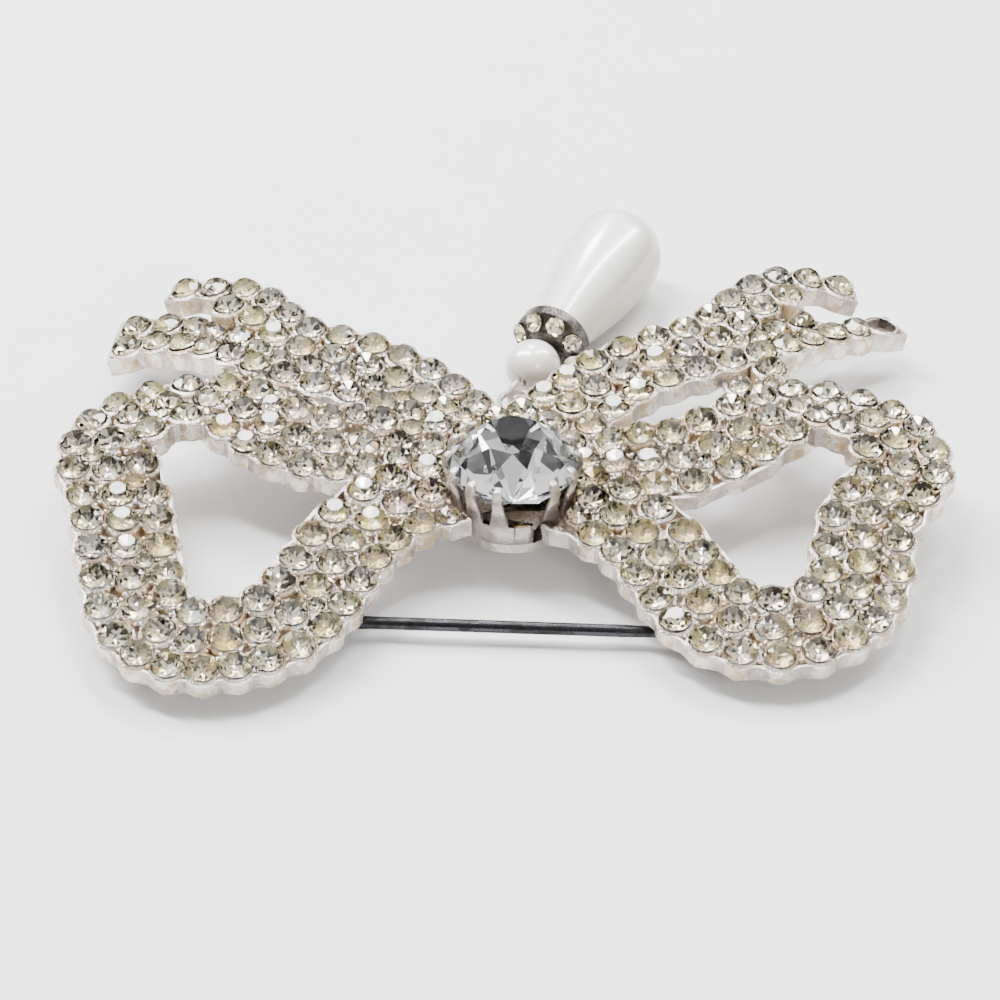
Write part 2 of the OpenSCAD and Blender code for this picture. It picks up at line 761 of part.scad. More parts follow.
// The stem is thickest at its eye, straight in the middle, and thins towards
// its point in two cones
collar_r = 0.78;
collar_l = 5.8;
thin_l = 11;
thin_r = stem_r * 0.78;
tip_l = 5;
tip_r = 0.12;
tip_over = 3.2;
tip_x = catch_x + tip_over;
straight_l = tip_x - thin_l + hinge_x - collar_l;
module hinge() {
    y = eye_w / 2 + cheek_gap;
    c = cheek_r;
    color(dark_steel) place() pin_frame() translate([-hinge_x, 0, 0]) {
        translate([-base_l / 2, -base_w / 2, pad_z - base_t]) cube([base_l, base_w, base_t]);
        for (s = [-1, 1]) translate([0, s * (y + cheek_t / 2), 0]) rotate([90, 0, 0])
            linear_extrude(cheek_t, center = true) polygon([
                [-c, pad_z],
                [-c, cheek_cut],
                [cheek_cut - c, 0],
                [c - cheek_cut, 0],
                [c, cheek_cut],
                [c, pad_z]
            ]);
        translate([0, 0, stem_z]) rotate([90, 0, 0])
            cylinder(r = rivet_r, h = 2 * (y + cheek_t + rivet_head), center = true);
    }
}
module pin_stem() {
    color(dark_steel) place() pin_frame() translate([0, 0, stem_z]) difference() {
        union() {
            translate([-hinge_x, 0, 0]) rotate([90, 0, 0])
                cylinder(r = eye_r, h = eye_w, center = true);
            translate([-hinge_x, 0, 0]) rotate([0, 90, 0])
                cylinder(r1 = collar_r, r2 = stem_r, h = collar_l);
            translate([-hinge_x + collar_l, 0, 0]) rotate([0, 90, 0])
                cylinder(r = stem_r, h = straight_l);
            translate([tip_x - thin_l, 0, 0]) rotate([0, 90, 0])
                cylinder(r1 = stem_r, r2 = thin_r, h = thin_l - tip_l);
            translate([tip_x - tip_l, 0, 0]) rotate([0, 90, 0])
                cylinder(r1 = thin_r, r2 = tip_r, h = tip_l);
        }
        translate([-hinge_x, 0, 0]) rotate([90, 0, 0])
            cylinder(r = rivet_r + rivet_play, h = 2 * eye_w, center = true);
    }
}
// The catch is a saddle over the stem, open below
catch_l = 3;
catch_w = 3;
mouth = 1.7;
mouth_z = 0.6;
mouth_flare = 0.3;
module catch() {
    roof = stem_z + stem_r + base_gap;
    half = mouth / 2;
    color(dark_steel) place() pin_frame() translate([catch_x, 0, 0]) difference() {
        translate([-catch_l / 2, -catch_w / 2, 0]) cube([catch_l, catch_w, pad_z]);
        rotate([90, 0, 90]) linear_extrude(2 * catch_l, center = true) polygon([
            [-half - mouth_flare, -1], [half + mouth_flare, -1], [half + mouth_flare, 0],
            [half, mouth_z], [half, roof], [-half, roof],
            [-half, mouth_z], [-half - mouth_flare, 0]
        ]);
    }
}

// The drop: wire with an eye, held in the lug by an oval jump ring
hook_r = 1;
hook_gap = 0.3;
hook_s = pearl_r + hook_gap + hook_r + wire_r;
ring_r = 1.9;
ring_wire = 0.3;
hook_at = [
    drop_x - sin(drop_turn) * cos(drop_tilt) * hook_s,
    drop_y - cos(drop_turn) * cos(drop_tilt) * hook_s,
    drop_z - sin(drop_tilt) * hook_s
];
module jump_ring() {
    d = hook_at - [lug_x, lug_y, lug_z];
    side = norm(d) / 2 - ring_r;
    color(silver) place() translate([lug_x, lug_y, lug_z] + d / 2)
        rotate([0, 0, atan2(d.y, d.x)]) rotate([0, -asin(d.z / norm(d)), 0]) {
        for (e = [0, 180]) rotate([0, 0, e]) {
            translate([side, 0, 0]) rotate([0, 0, -90]) rotate_extrude(angle = 180)
                translate([ring_r, 0]) circle(r = ring_wire, $fn = 24);
            translate([-side, ring_r, 0]) rotate([0, 90, 0])
                cylinder(r = ring_wire, h = 2 * side, $fn = 24);
        }
    }
}
bore_r = wire_r + 0.15;
wire_in = 9;
wire_end = pear_s + wire_in;
bore_gap = 0.3;
module drop_wire() {
    color(silver) place() drop_frame() {
        translate([0, 0, -hook_s]) rotate([0, 90, 0]) rotate_extrude()
            translate([hook_r, 0]) circle(r = wire_r, $fn = 24);
        translate([0, 0, -hook_s + hook_r]) cylinder(r = wire_r, h = hook_s - hook_r + wire_end);
    }
}
module round_pearl() {
    color(nacre) place() drop_frame() difference() {
        sphere(r = pearl_r);
        cylinder(r = bore_r, h = 2 * pearl_d, center = true);
    }
}
// The washer is dished towards the round pearl and set with stones there
washer_flat = 2.2;
set_r = 0.85;
set_crown = 0.4;
set_deep = 0.6;
set_up = 0.1;
set_turn = 108;
seat_deep = 0.75;
function washer_list() =
    let(
        r = (washer_r + washer_flat) / 2,
        s = washer_s + washer_lip / 2,
        slope = atan2(washer_lip, washer_r - washer_flat)
    )
    [for (i = [0 : washer_n - 1])
        let(
            w = 360 * i / washer_n + set_turn,
            out = [cos(w), sin(w), 0],
            n = out * sin(slope) - [0, 0, cos(slope)]
        )
        [out * r + [0, 0, s] + n * set_up, unit(cross(n, out)), n]];
module washer() {
    color(old_silver) place() drop_frame() difference() {
        rotate_extrude() polygon([
            [bore_r, washer_s],
            [washer_flat, washer_s],
            [washer_r, washer_s + washer_lip],
            [washer_r, washer_s + washer_lip + washer_t],
            [bore_r, washer_s + washer_lip + washer_t]
        ]);
        for (s = washer_list()) translate(s[0] - s[2] * seat_deep)
            rotate([0, acos(s[2].z), atan2(s[2].y, s[2].x)])
            cylinder(r = set_r + seat_gap, h = 2, $fn = 24);
    }
}
module washer_stones() {
    color(crystal) place() drop_frame() cut_stones(washer_list(), set_r, set_crown, set_deep);
}
module pear_pearl() {
    color(nacre) place() drop_frame() difference() {
        rotate_extrude() polygon(concat(
            [[0, bulb_s + pear_r]],
            [for (i = [len(PEAR) - 1 : -1 : 0]) PEAR[i]],
            [[0, pear_s]]
        ));
        translate([0, 0, pear_s - 1]) cylinder(r = bore_r, h = 1 + wire_in + bore_gap);
    }
}

bow_left();
bow_right();
stones_left();
stones_right();
knot_cup();
knot_stone();
hinge();
catch();
pin_stem();
jump_ring();
drop_wire();
round_pearl();
washer();
washer_stones();
pear_pearl();
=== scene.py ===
# %% [markdown]
# # Dressing a bow brooch
# The real brooch is cast in a silver-coloured metal. Two loops and two forked
# tails are paved with small foiled glass stones, a large stone in a clawed
# cup makes the knot, and a pearl drop hangs behind. The solid model already
# holds every place and size, so this script adds what a solid model is poor
# at: cut facets, cups, grains of metal, tarnish, lacquer and light.

# %% Load the frame
import math
import random

import bmesh
import bpy
from mathutils import Matrix, Vector
from mathutils.bvhtree import BVHTree


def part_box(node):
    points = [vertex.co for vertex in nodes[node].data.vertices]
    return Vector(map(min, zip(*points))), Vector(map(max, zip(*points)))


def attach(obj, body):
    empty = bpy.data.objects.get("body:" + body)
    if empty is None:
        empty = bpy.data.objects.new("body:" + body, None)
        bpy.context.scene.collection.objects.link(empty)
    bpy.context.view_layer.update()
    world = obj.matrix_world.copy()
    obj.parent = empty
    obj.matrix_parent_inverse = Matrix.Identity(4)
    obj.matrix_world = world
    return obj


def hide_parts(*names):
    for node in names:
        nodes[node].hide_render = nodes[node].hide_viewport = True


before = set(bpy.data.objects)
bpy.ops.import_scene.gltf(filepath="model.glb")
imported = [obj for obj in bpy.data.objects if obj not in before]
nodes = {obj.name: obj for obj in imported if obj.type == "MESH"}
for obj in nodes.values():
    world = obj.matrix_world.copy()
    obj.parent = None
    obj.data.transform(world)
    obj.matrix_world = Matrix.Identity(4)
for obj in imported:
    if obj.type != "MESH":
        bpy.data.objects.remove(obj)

MM = 0.001
UP = Vector((0, 0, 1))
scene = bpy.context.scene
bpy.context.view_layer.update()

# %% [markdown]
# ## Camera
# The photographer stood in front of the brooch and looked down at it at 37
# degrees with a long lens. A long lens from 360 mm keeps the near loops and
# the far tails at nearly one scale. A camera moved closer would need a wider
# lens, and the tails would shrink.

# %% Camera
VIEW_DOWN = math.radians(37)
DISTANCE = 360 * MM
LENS = 136.1

knot_low, knot_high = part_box("knot_stone")
knot = (knot_low + knot_high) / 2
aim = Vector((knot.x, knot.y, 10 * MM))
camera = bpy.data.objects.new("camera", bpy.data.cameras.new("camera"))
camera.location = aim + Vector((0, -math.cos(VIEW_DOWN), math.sin(VIEW_DOWN))) * DISTANCE
camera.rotation_euler = (math.pi / 2 - VIEW_DOWN, 0, 0)
camera.data.lens = LENS
camera.data.shift_x = -0.0125  # the knot isn't quite in the middle of the photo
camera.data.shift_y = -0.037
camera.data.clip_start = 0.01
scene.collection.objects.link(camera)
scene.camera = camera
print("camera at", [round(v, 3) for v in camera.location])

# %% [markdown]
# ## Helpers for materials
# Every finish here starts from one Principled shader. The same few steps come
# back each time, such as mixing two tones or spreading a value over a range,
# so each step is a small function.

# %% Material helpers
def new_material(name):
    """A material with nodes, and its tree, shader and object coordinates."""
    material = bpy.data.materials.new(name)
    material.use_nodes = True
    tree = material.node_tree
    shader = tree.nodes["Principled BSDF"]
    place = tree.nodes.new("ShaderNodeTexCoord")
    return material, tree, shader, place.outputs["Object"]


def group_node(tree, group, place, **values):
    """A node group placed in a material, with its own values."""
    node = tree.nodes.new("ShaderNodeGroup")
    node.node_tree = group
    tree.links.new(place, node.inputs["Place"])
    for key, value in values.items():
        node.inputs[key].default_value = value
    return node


def blend(tree, factor, first, second):
    """A colour mixed from two colours, or from the outputs of two nodes."""
    mix = tree.nodes.new("ShaderNodeMix")
    mix.data_type = "RGBA"
    tree.links.new(factor, mix.inputs[0])
    for slot, value in ((6, first), (7, second)):
        if isinstance(value, tuple):
            mix.inputs[slot].default_value = (*value, 1)
        else:
            tree.links.new(value, mix.inputs[slot])
    return mix.outputs[2]


def range_of(tree, value, low, high):
    """A value from 0 to 1 spread over a range, as for roughness."""
    node = tree.nodes.new("ShaderNodeMapRange")
    node.inputs["To Min"].default_value = low
    node.inputs["To Max"].default_value = high
    tree.links.new(value, node.inputs["Value"])
    return node.outputs["Result"]


def bump(tree, shader, height, depth, strength=1.0):
    """Makes a height drawn on the surface tilt its normal."""
    node = tree.nodes.new("ShaderNodeBump")
    node.inputs["Distance"].default_value = depth
    node.inputs["Strength"].default_value = strength
    tree.links.new(height, node.inputs["Height"])
    tree.links.new(node.outputs["Normal"], shader.inputs["Normal"])


def group_sockets(name, inputs, outputs):
    """An empty node group with named inputs and outputs."""
    group = bpy.data.node_groups.new(name, "ShaderNodeTree")
    group.interface.new_socket("Place", in_out="INPUT", socket_type="NodeSocketVector")
    for key, value in inputs.items():
        socket = group.interface.new_socket(key, in_out="INPUT", socket_type="NodeSocketFloat")
        socket.default_value = value
    for key, kind in outputs.items():
        group.interface.new_socket(key, in_out="OUTPUT", socket_type=kind)
    return group, group.nodes.new("NodeGroupInput"), group.nodes.new("NodeGroupOutput")


print("helpers for materials are ready")

# %% [markdown]
# ## Effects that several finishes share
# Two effects come back in several finishes, so each is a node group: it is
# drawn once and placed in a material with its own values. Cloudy grime is soft
# noise, for tarnish, stains and fine grain. Patches are cells of one tone each,
# for glass that was poured in batches of slightly different colour.

# %% Group: cloudy grime
def make_grime():
    """Soft noise as a height, and as a mask between two of its levels."""
    group, come, leave = group_sockets(
        "cloudy grime", {"Scale": 300, "Low": 0.4, "High": 0.6},
        {"Mask": "NodeSocketFloat", "Height": "NodeSocketFloat"})
    noise = group.nodes.new("ShaderNodeTexNoise")
    noise.inputs["Detail"].default_value = 6
    noise.inputs["Roughness"].default_value = 0.65
    spread = group.nodes.new("ShaderNodeMapRange")
    spread.interpolation_type = "SMOOTHSTEP"
    group.links.new(come.outputs["Place"], noise.inputs["Vector"])
    group.links.new(come.outputs["Scale"], noise.inputs["Scale"])
    group.links.new(noise.outputs["Fac"], spread.inputs["Value"])
    group.links.new(come.outputs["Low"], spread.inputs["From Min"])
    group.links.new(come.outputs["High"], spread.inputs["From Max"])
    group.links.new(spread.outputs["Result"], leave.inputs["Mask"])
    group.links.new(noise.outputs["Fac"], leave.inputs["Height"])
    return group


grime = make_grime()
print("node group:", grime.name)


# %% Group: patches of one tone each
def make_patches():
    """Cells that each have one chance tone, and another to mix it with."""
    group, come, leave = group_sockets(
        "patches", {"Scale": 300}, {"Tone": "NodeSocketFloat", "Other": "NodeSocketFloat"})
    cells = group.nodes.new("ShaderNodeTexVoronoi")
    parts = group.nodes.new("ShaderNodeSeparateColor")
    group.links.new(come.outputs["Place"], cells.inputs["Vector"])
    group.links.new(come.outputs["Scale"], cells.inputs["Scale"])
    group.links.new(cells.outputs["Color"], parts.inputs["Color"])
    group.links.new(parts.outputs["Red"], leave.inputs["Tone"])
    group.links.new(parts.outputs["Green"], leave.inputs["Other"])
    return group


patches = make_patches()
print("node group:", patches.name)

# %% [markdown]
# ## Metals
# The casting is silver-coloured and dull: cloudy tarnish darkens it and makes
# it rougher. Between the stones it is brighter and faintly yellow. The stem
# is steel gone dark, and the washer of the drop is nearly black.

# %% Metals
def metal(name, clean, dull, smooth, rough, cloud, depth, low=0.42, high=0.62):
    """A metal with clouds of tarnish that are darker and rougher."""
    material, tree, shader, place = new_material(name)
    clouds = group_node(tree, grime, place, Scale=cloud, Low=low, High=high)
    grain = group_node(tree, grime, place, Scale=cloud * 6)
    mask = clouds.outputs["Mask"]
    tree.links.new(blend(tree, mask, clean, dull), shader.inputs["Base Color"])
    tree.links.new(range_of(tree, mask, smooth, rough), shader.inputs["Roughness"])
    bump(tree, shader, grain.outputs["Height"], depth)
    shader.inputs["Metallic"].default_value = 1
    return material


silver = metal("dull_silver", (0.72, 0.66, 0.62), (0.44, 0.38, 0.33),
               smooth=0.24, rough=0.5, cloud=520, depth=0.12 * MM, low=0.36, high=0.7)
bright = metal("bright_silver", (0.93, 0.87, 0.79), (0.58, 0.43, 0.28),
               smooth=0.14, rough=0.34, cloud=500, depth=0.14 * MM)
steel = metal("dark_steel", (0.06, 0.06, 0.068), (0.025, 0.023, 0.023),
              smooth=0.22, rough=0.4, cloud=350, depth=0.03 * MM)
# this near-black metal is the washer's own colour; it also lines the small cups' wells as
# painted shade
black_and_well_shade = metal("black_silver_and_well_shade", (0.16, 0.145, 0.13), (0.05, 0.045, 0.04),
              smooth=0.25, rough=0.5, cloud=500, depth=0.06 * MM)
print("metals:", silver.name, bright.name, steel.name, black_and_well_shade.name)

# %% [markdown]
# ## Foiled glass
# A rhinestone is glass with a mirror of foil on its back. Light goes in
# through the top, bounces between the foiled facets and comes out again, and
# that is its sparkle. So the top facets get clear glass and the back facets
# a mirror. Seen from outside, the same foil is brown gold lacquer on the knot
# stone. On the small stones it is near-black, partly lacquer and partly painted
# shade for the dark gap under each girdle. Old foil goes champagne in places,
# each stone by itself.

# %% Glass and foil
def clear_glass(name, first, second, third):
    """Clear glass, tinted in patches about as large as a stone."""
    material, tree, shader, place = new_material(name)
    tones = group_node(tree, patches, place, Scale=230)
    tint = blend(tree, tones.outputs["Tone"], first, second)
    some = range_of(tree, tones.outputs["Other"], -1.6, 1.0)
    tree.links.new(blend(tree, some, tint, third), shader.inputs["Base Color"])
    shader.inputs["Roughness"].default_value = 0.0
    shader.inputs["IOR"].default_value = 1.52
    shader.inputs["Transmission Weight"].default_value = 1
    return material


def foil_back(name, fresh, aged, pink, outside, marks, scale=520):
    """Mirror foil inside, a little pink here and there, lacquer outside. On the
    small stones the outside is very dark, partly painted shade. A higher value
    of marks leaves fewer stains."""
    material, tree, shader, place = new_material(name)
    stains = group_node(tree, grime, place, Scale=scale, Low=marks, High=marks + 0.14)
    tones = group_node(tree, patches, place, Scale=scale * 2)
    side = tree.nodes.new("ShaderNodeNewGeometry")
    some = range_of(tree, tones.outputs["Tone"], -1.2, 1.0)
    clean = blend(tree, some, fresh, pink)
    mirror = blend(tree, stains.outputs["Mask"], clean, aged)
    lacquer_and_shade = blend(tree, stains.outputs["Mask"], outside, (0.05, 0.04, 0.03))
    tree.links.new(blend(tree, side.outputs["Backfacing"], lacquer_and_shade, mirror),
                   shader.inputs["Base Color"])
    tree.links.new(range_of(tree, stains.outputs["Mask"], 0.04, 0.3), shader.inputs["Roughness"])
    shader.inputs["Metallic"].default_value = 1
    return material


field_glass = clear_glass("field_glass", first=(1.0, 0.99, 0.93), second=(0.96, 0.91, 0.62),
                          third=(0.95, 0.86, 0.81))
# painted shade: the near-black outside of the small stones' foil is partly lacquer and partly
# stands for the dark gap under each girdle
field_foil = foil_back("field_foil", fresh=(0.97, 0.94, 0.87), aged=(0.78, 0.68, 0.38),
                       pink=(0.92, 0.78, 0.72), outside=(0.03, 0.022, 0.015), marks=0.49)
knot_glass = clear_glass("knot_glass", first=(1.0, 1.0, 1.0), second=(0.97, 0.98, 1.0),
                         third=(1.0, 0.97, 0.95))
knot_foil = foil_back("knot_foil", fresh=(0.96, 0.97, 0.98), aged=(0.92, 0.84, 0.68),
                      pink=(0.96, 0.95, 0.97), outside=(0.42, 0.30, 0.10), marks=0.66, scale=160)
print("glass:", field_glass.name, knot_glass.name)

# %% [markdown]
# ## Pearl
# The pearls are glass beads dipped in pearl lacquer. Light scatters a little
# in the lacquer and shines on its clear top coat. The sides that face down are
# painted brown-grey as painted shade, so the surface's own slope sets the tone.

# %% Pearl
def pearl_lacquer_and_shade():
    """White lacquer with a clear coat, and painted brown-grey shade where it faces down."""
    material, tree, shader, place = new_material("pearl_lacquer_and_shade")
    clouds = group_node(tree, grime, place, Scale=90, Low=0.35, High=0.7)
    parts = tree.nodes.new("ShaderNodeSeparateXYZ")
    tree.links.new(place.node.outputs["Normal"], parts.inputs["Vector"])
    # painted shade: 1 keeps the white body where the surface faces up, 0 gives the brown-grey
    # shade tone where it faces down
    high = tree.nodes.new("ShaderNodeMapRange")
    high.interpolation_type = "SMOOTHSTEP"
    high.inputs["From Min"].default_value = 0.0
    high.inputs["From Max"].default_value = 0.98
    tree.links.new(parts.outputs["Z"], high.inputs["Value"])
    body = blend(tree, clouds.outputs["Mask"], (0.95, 0.94, 0.91), (0.90, 0.885, 0.84))
    tree.links.new(blend(tree, high.outputs["Result"], (0.36, 0.31, 0.24), body),
                   shader.inputs["Base Color"])
    bump(tree, shader, clouds.outputs["Height"], 0.02 * MM, 0.3)
    shader.inputs["Roughness"].default_value = 0.3
    shader.inputs["Metallic"].default_value = 0.12
    shader.inputs["Coat Weight"].default_value = 1
    shader.inputs["Coat Roughness"].default_value = 0.12
    shader.inputs["Coat IOR"].default_value = 1.6
    shader.inputs["Subsurface Weight"].default_value = 0.15
    shader.inputs["Subsurface Radius"].default_value = (0.001, 0.0009, 0.0008)
    return material


pearl = pearl_lacquer_and_shade()
print("pearl:", pearl.name)

# %% [markdown]
# ## Where the stones sit
# The solid model holds each small stone as a loose solid. A copy of its mesh,
# merged, falls into islands of 17 corners: eight round the girdle, eight
# round the table, and the point. Their distances from the middle tell them
# apart, so every stone's centre and axis can be read without a list.

# %% Read the stones' places
def upright(axis):
    """The turn that takes the Z axis to this axis."""
    return axis.to_track_quat("Z", "Y").to_matrix().to_4x4()


def seats(node):
    """A matrix for each loose stone of a CAD node, its Z axis pointing up."""
    bm = bmesh.new()
    bm.from_mesh(node.data)
    bmesh.ops.remove_doubles(bm, verts=bm.verts, dist=1e-6)
    seen = set()
    found = []
    for first in bm.verts:
        if first in seen:
            continue
        seen.add(first)
        island = [first]
        for vert in island:
            for edge in vert.link_edges:
                other = edge.other_vert(vert)
                if other not in seen:
                    seen.add(other)
                    island.append(other)
        middle = sum((v.co for v in island), Vector()) / len(island)
        far = sorted(island, key=lambda v: -(v.co - middle).length)
        girdle, point, table = far[:8], far[8], far[9:]
        centre = sum((v.co for v in girdle), Vector()) / 8
        axis = (sum((v.co for v in table), Vector()) / len(table) - point.co).normalized()
        found.append(Matrix.Translation(centre) @ upright(axis))
    bm.free()
    return sorted(found, key=lambda m: (round(m.translation.x, 5), round(m.translation.y, 5)))


field = {side: seats(nodes["stones_" + side]) for side in ("left", "right")}
washer_seats = seats(nodes["washer_stones"])
print("stones:", {side: len(places) for side, places in field.items()}, len(washer_seats))

# %% [markdown]
# ## Stones in the places left over
# The solid model leaves a stone out where its seat would come too near a wall
# or another stone. On the real brooch the paving goes on there, with smaller
# stones in narrow places. So the spots all round each stone are tried, the
# roomiest first: metal has to lie under the whole place, and what is left to
# the nearest stone gives the size. One seat, at the tip of the right tail, has
# lost its stone and stays bare.

# %% Fill the places left over
STONE_R = 1.5 * MM
LEAST = 0.56  # the smallest stone that is set, as a share of a full one
BESIDE = (2.35, 2.7, 3.05)  # mm from a stone's middle to a place beside it
DIRECTIONS = 24
KNOT_ROOM = 6.3 * MM  # kept free round the middle of the knot
ABOVE, BELOW = 2 * MM, 2.2 * MM  # metal is looked for between these heights
FOOT = 0.8  # and under this share of a stone's radius
TAILS_FROM = 12 * MM  # the tips of the tails lie further back than this


def size_of(place):
    """The size of a stone as a share of a full one."""
    return place.to_scale().z


def up_axis(place):
    """The direction in which the stone at a place looks up."""
    return (place.to_3x3() @ UP).normalized()


def ring_of(axis, reach, count):
    """Steps of one length in equal directions round an axis."""
    side = axis.orthogonal().normalized() * reach
    return [Matrix.Rotation(math.tau * i / count, 3, axis) @ side for i in range(count)]


def over_metal(surface, spot, axis, reach):
    """Whether metal lies close under the middle and the rim of a place."""
    return all(surface.ray_cast(spot + step + axis * ABOVE, -axis, ABOVE + BELOW)[0] is not None
               for step in [Vector()] + ring_of(axis, reach, 8))


def left_over(node, places, others):
    """Free places between and beside the stones of one ribbon."""
    surface = BVHTree.FromObject(node, bpy.context.evaluated_depsgraph_get())
    taken = [(p.translation, 1.0) for p in places + others]

    def share(spot):
        """The largest size that fits at a spot."""
        near = min((spot - middle).length - size * STONE_R for middle, size in taken)
        from_knot = Vector((spot.x - knot.x, spot.y - knot.y)).length - KNOT_ROOM
        return min(1.0, near / STONE_R, from_knot / STONE_R)

    tries = []
    for place in places:
        axis = up_axis(place)
        for away in BESIDE:
            for way in ring_of(axis, 1, DIRECTIONS):
                spot = place.translation + way * away * MM
                if share(spot) > LEAST:
                    tries.append((share(spot), spot, axis))
    added = []
    for _, spot, axis in sorted(tries, key=lambda t: -t[0]):
        size = share(spot)
        if size > LEAST and over_metal(surface, spot, axis, STONE_R * size * FOOT):
            taken.append((spot, size))
            added.append(Matrix.Translation(spot) @ upright(axis) @ Matrix.Scale(size, 4))
    return added


def empty_seat(places):
    """The seat beyond the last stone of the right tail, which has lost its stone."""
    tail = [p for p in places if p.translation.y > TAILS_FROM]
    last = max(tail, key=lambda p: p.translation.x)
    near = min((p for p in places if p is not last),
               key=lambda p: (p.translation - last.translation).length)
    step = last.translation - near.translation
    return Matrix.Translation(step) @ last


bare = empty_seat(field["right"])
for side, other in (("left", "right"), ("right", "left")):
    set_already = list(field[side])
    field[side] += left_over(nodes["bow_" + side], set_already, field[other] + [bare])
    sizes = sorted({round(size_of(p), 1) for p in field[side]})
    print("stones", side, len(field[side]), "sizes", sizes)

# %% [markdown]
# ## Cutting a stone
# A facet could be a face typed in by its corners. It is truer, and shorter,
# to work as a lapidary does: start from a plain drum and grind one flat after
# the other. Bisecting the drum with a plane and closing the hole grinds one
# facet, and the rings of facets follow from a few angles.

# %% Grind facets
def grind(bm, point, normal):
    """Takes off what lies beyond a plane and closes the cut as a facet."""
    bmesh.ops.bisect_plane(bm, geom=bm.verts[:] + bm.edges[:] + bm.faces[:], dist=1e-9,
                           plane_co=point, plane_no=normal, clear_outer=True)
    bmesh.ops.holes_fill(bm, edges=[e for e in bm.edges if e.is_boundary], sides=0)


def grind_ring(bm, count, turn, reach, height, tilt, side=1):
    """Grinds equal facets round the stone, above (side 1) or below (-1)."""
    for i in range(count):
        w = turn + math.tau * i / count
        out = Vector((math.cos(w), math.sin(w), 0))
        grind(bm, out * reach + UP * height, out * math.sin(tilt) + UP * side * math.cos(tilt))


def cut_stone(name, radius, table, crown, deep, girdle, fine, materials):
    """A round stone with its table up: glass above the girdle, foil below. A
    fine one has sixteen small facets along the upper side of its girdle."""
    eighth = math.tau / 8
    bm = bmesh.new()
    bmesh.ops.create_cone(bm, cap_ends=True, segments=16, radius1=radius, radius2=radius,
                          depth=2 * max(crown, deep))
    grind(bm, UP * crown, UP)
    # eight main facets rise from the girdle to the table
    main = math.atan2(crown - girdle / 2, radius - table)
    grind_ring(bm, 8, 0, radius, girdle / 2, main)
    # eight flatter ones take off the table's corners, halfway down between the first
    low = table / math.cos(eighth / 2) + (radius - table) * 0.5
    low_z = girdle / 2 + (radius - low * math.cos(eighth / 2)) * math.tan(main)
    top = table * math.cos(eighth / 2)
    grind_ring(bm, 8, eighth / 2, top, crown, math.atan2(crown - low_z, low - top))
    # eight more meet in the point below
    back = math.atan2(deep - girdle / 2, radius)
    grind_ring(bm, 8, 0, radius, -girdle / 2, back, -1)
    if fine:
        edge = radius * math.cos(eighth / 4)
        grind_ring(bm, 16, eighth / 4, edge, girdle / 2, main + math.radians(6))
    bmesh.ops.recalc_face_normals(bm, faces=bm.faces)
    for face in bm.faces:
        face.material_index = 1 if face.normal.z < -0.1 else 0
    mesh = bpy.data.meshes.new(name)
    bm.to_mesh(mesh)
    bm.free()
    for material in materials:
        mesh.materials.append(material)
    return mesh


small_cut = cut_stone("small_cut", radius=STONE_R, table=0.8 * MM, crown=0.72 * MM,
                      deep=0.95 * MM, girdle=0.14 * MM, fine=False,
                      materials=(field_glass, field_foil))
print("small stone:", len(small_cut.polygons), "facets")

# %% [markdown]
# ## Setting the stones
# One stone is cut, and copies of it go to all the places. A stone that is set
# by hand never sits quite level, so each copy is turned by chance and leans by
# up to six degrees. Without that all the tables would flash together. The
# chance is seeded, so every run sets them alike.

# %% Set the small stones
def finished(bm, name, *materials):
    """A new object at the origin that holds the mesh."""
    mesh = bpy.data.meshes.new(name)
    bm.to_mesh(mesh)
    bm.free()
    for material in materials:
        mesh.materials.append(material)
    piece = bpy.data.objects.new(name, mesh)
    scene.collection.objects.link(piece)
    return piece


def add_copy(bm, mesh, matrix):
    """Adds a copy of a mesh, moved by a matrix, and gives its new corners."""
    before = len(bm.verts)
    bm.from_mesh(mesh)
    bm.verts.ensure_lookup_table()
    fresh = bm.verts[before:]
    bmesh.ops.transform(bm, matrix=matrix, verts=fresh)
    return fresh


chance = random.Random(7)
MOST_LEAN = 6  # degrees
RAISED = 0.2 * MM  # a small stone stands this much over its seat in the solids


def uneven(place, raised):
    """The same place, a little higher, turned and leaning, as set by hand."""
    turn = Matrix.Rotation(chance.uniform(0, math.tau), 4, "Z")
    way = Matrix.Rotation(chance.uniform(0, math.tau), 4, "Z")
    lean = Matrix.Rotation(math.radians(chance.uniform(0, MOST_LEAN)), 4, "X")
    return place @ Matrix.Translation(UP * raised) @ way @ lean @ turn


for side, places in field.items():
    bm = bmesh.new()
    for place in places:
        add_copy(bm, small_cut, uneven(place, RAISED))
    piece = finished(bm, "cut_stones_" + side, field_glass, field_foil)
    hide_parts("stones_" + side)
    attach(piece, "brooch")
    print(piece.name, len(piece.data.polygons), "facets")

# %% [markdown]
# ## Cups
# Each small stone sits in a cast cup with a thin lip. The cup is a little
# wider than the stone, and the stone stands proud of it, so a crescent of the
# well shows along its near edge. The well's inner wall is near-black metal, as
# painted shade, so that crescent reads dark. Where two cups meet, they share a
# wall, and along a ribbon's edge each one bulges out, which gives the
# scalloped side. A ring is spun round each stone, and any corner that crosses
# the plane between two stones is moved back onto it.

# %% Spin the cups
CUP_OUT = 1.97 * MM
CUP_IN = 1.6 * MM
CUP_DEEP = 1.9 * MM
WALL_REACH = 4.3 * MM  # stones nearer than this share a wall
SHARED = 0.03 * MM  # how far a cup may reach past the plane between two stones
SAME_LEVEL = 1.3 * MM  # stones further up or down belong to another ribbon


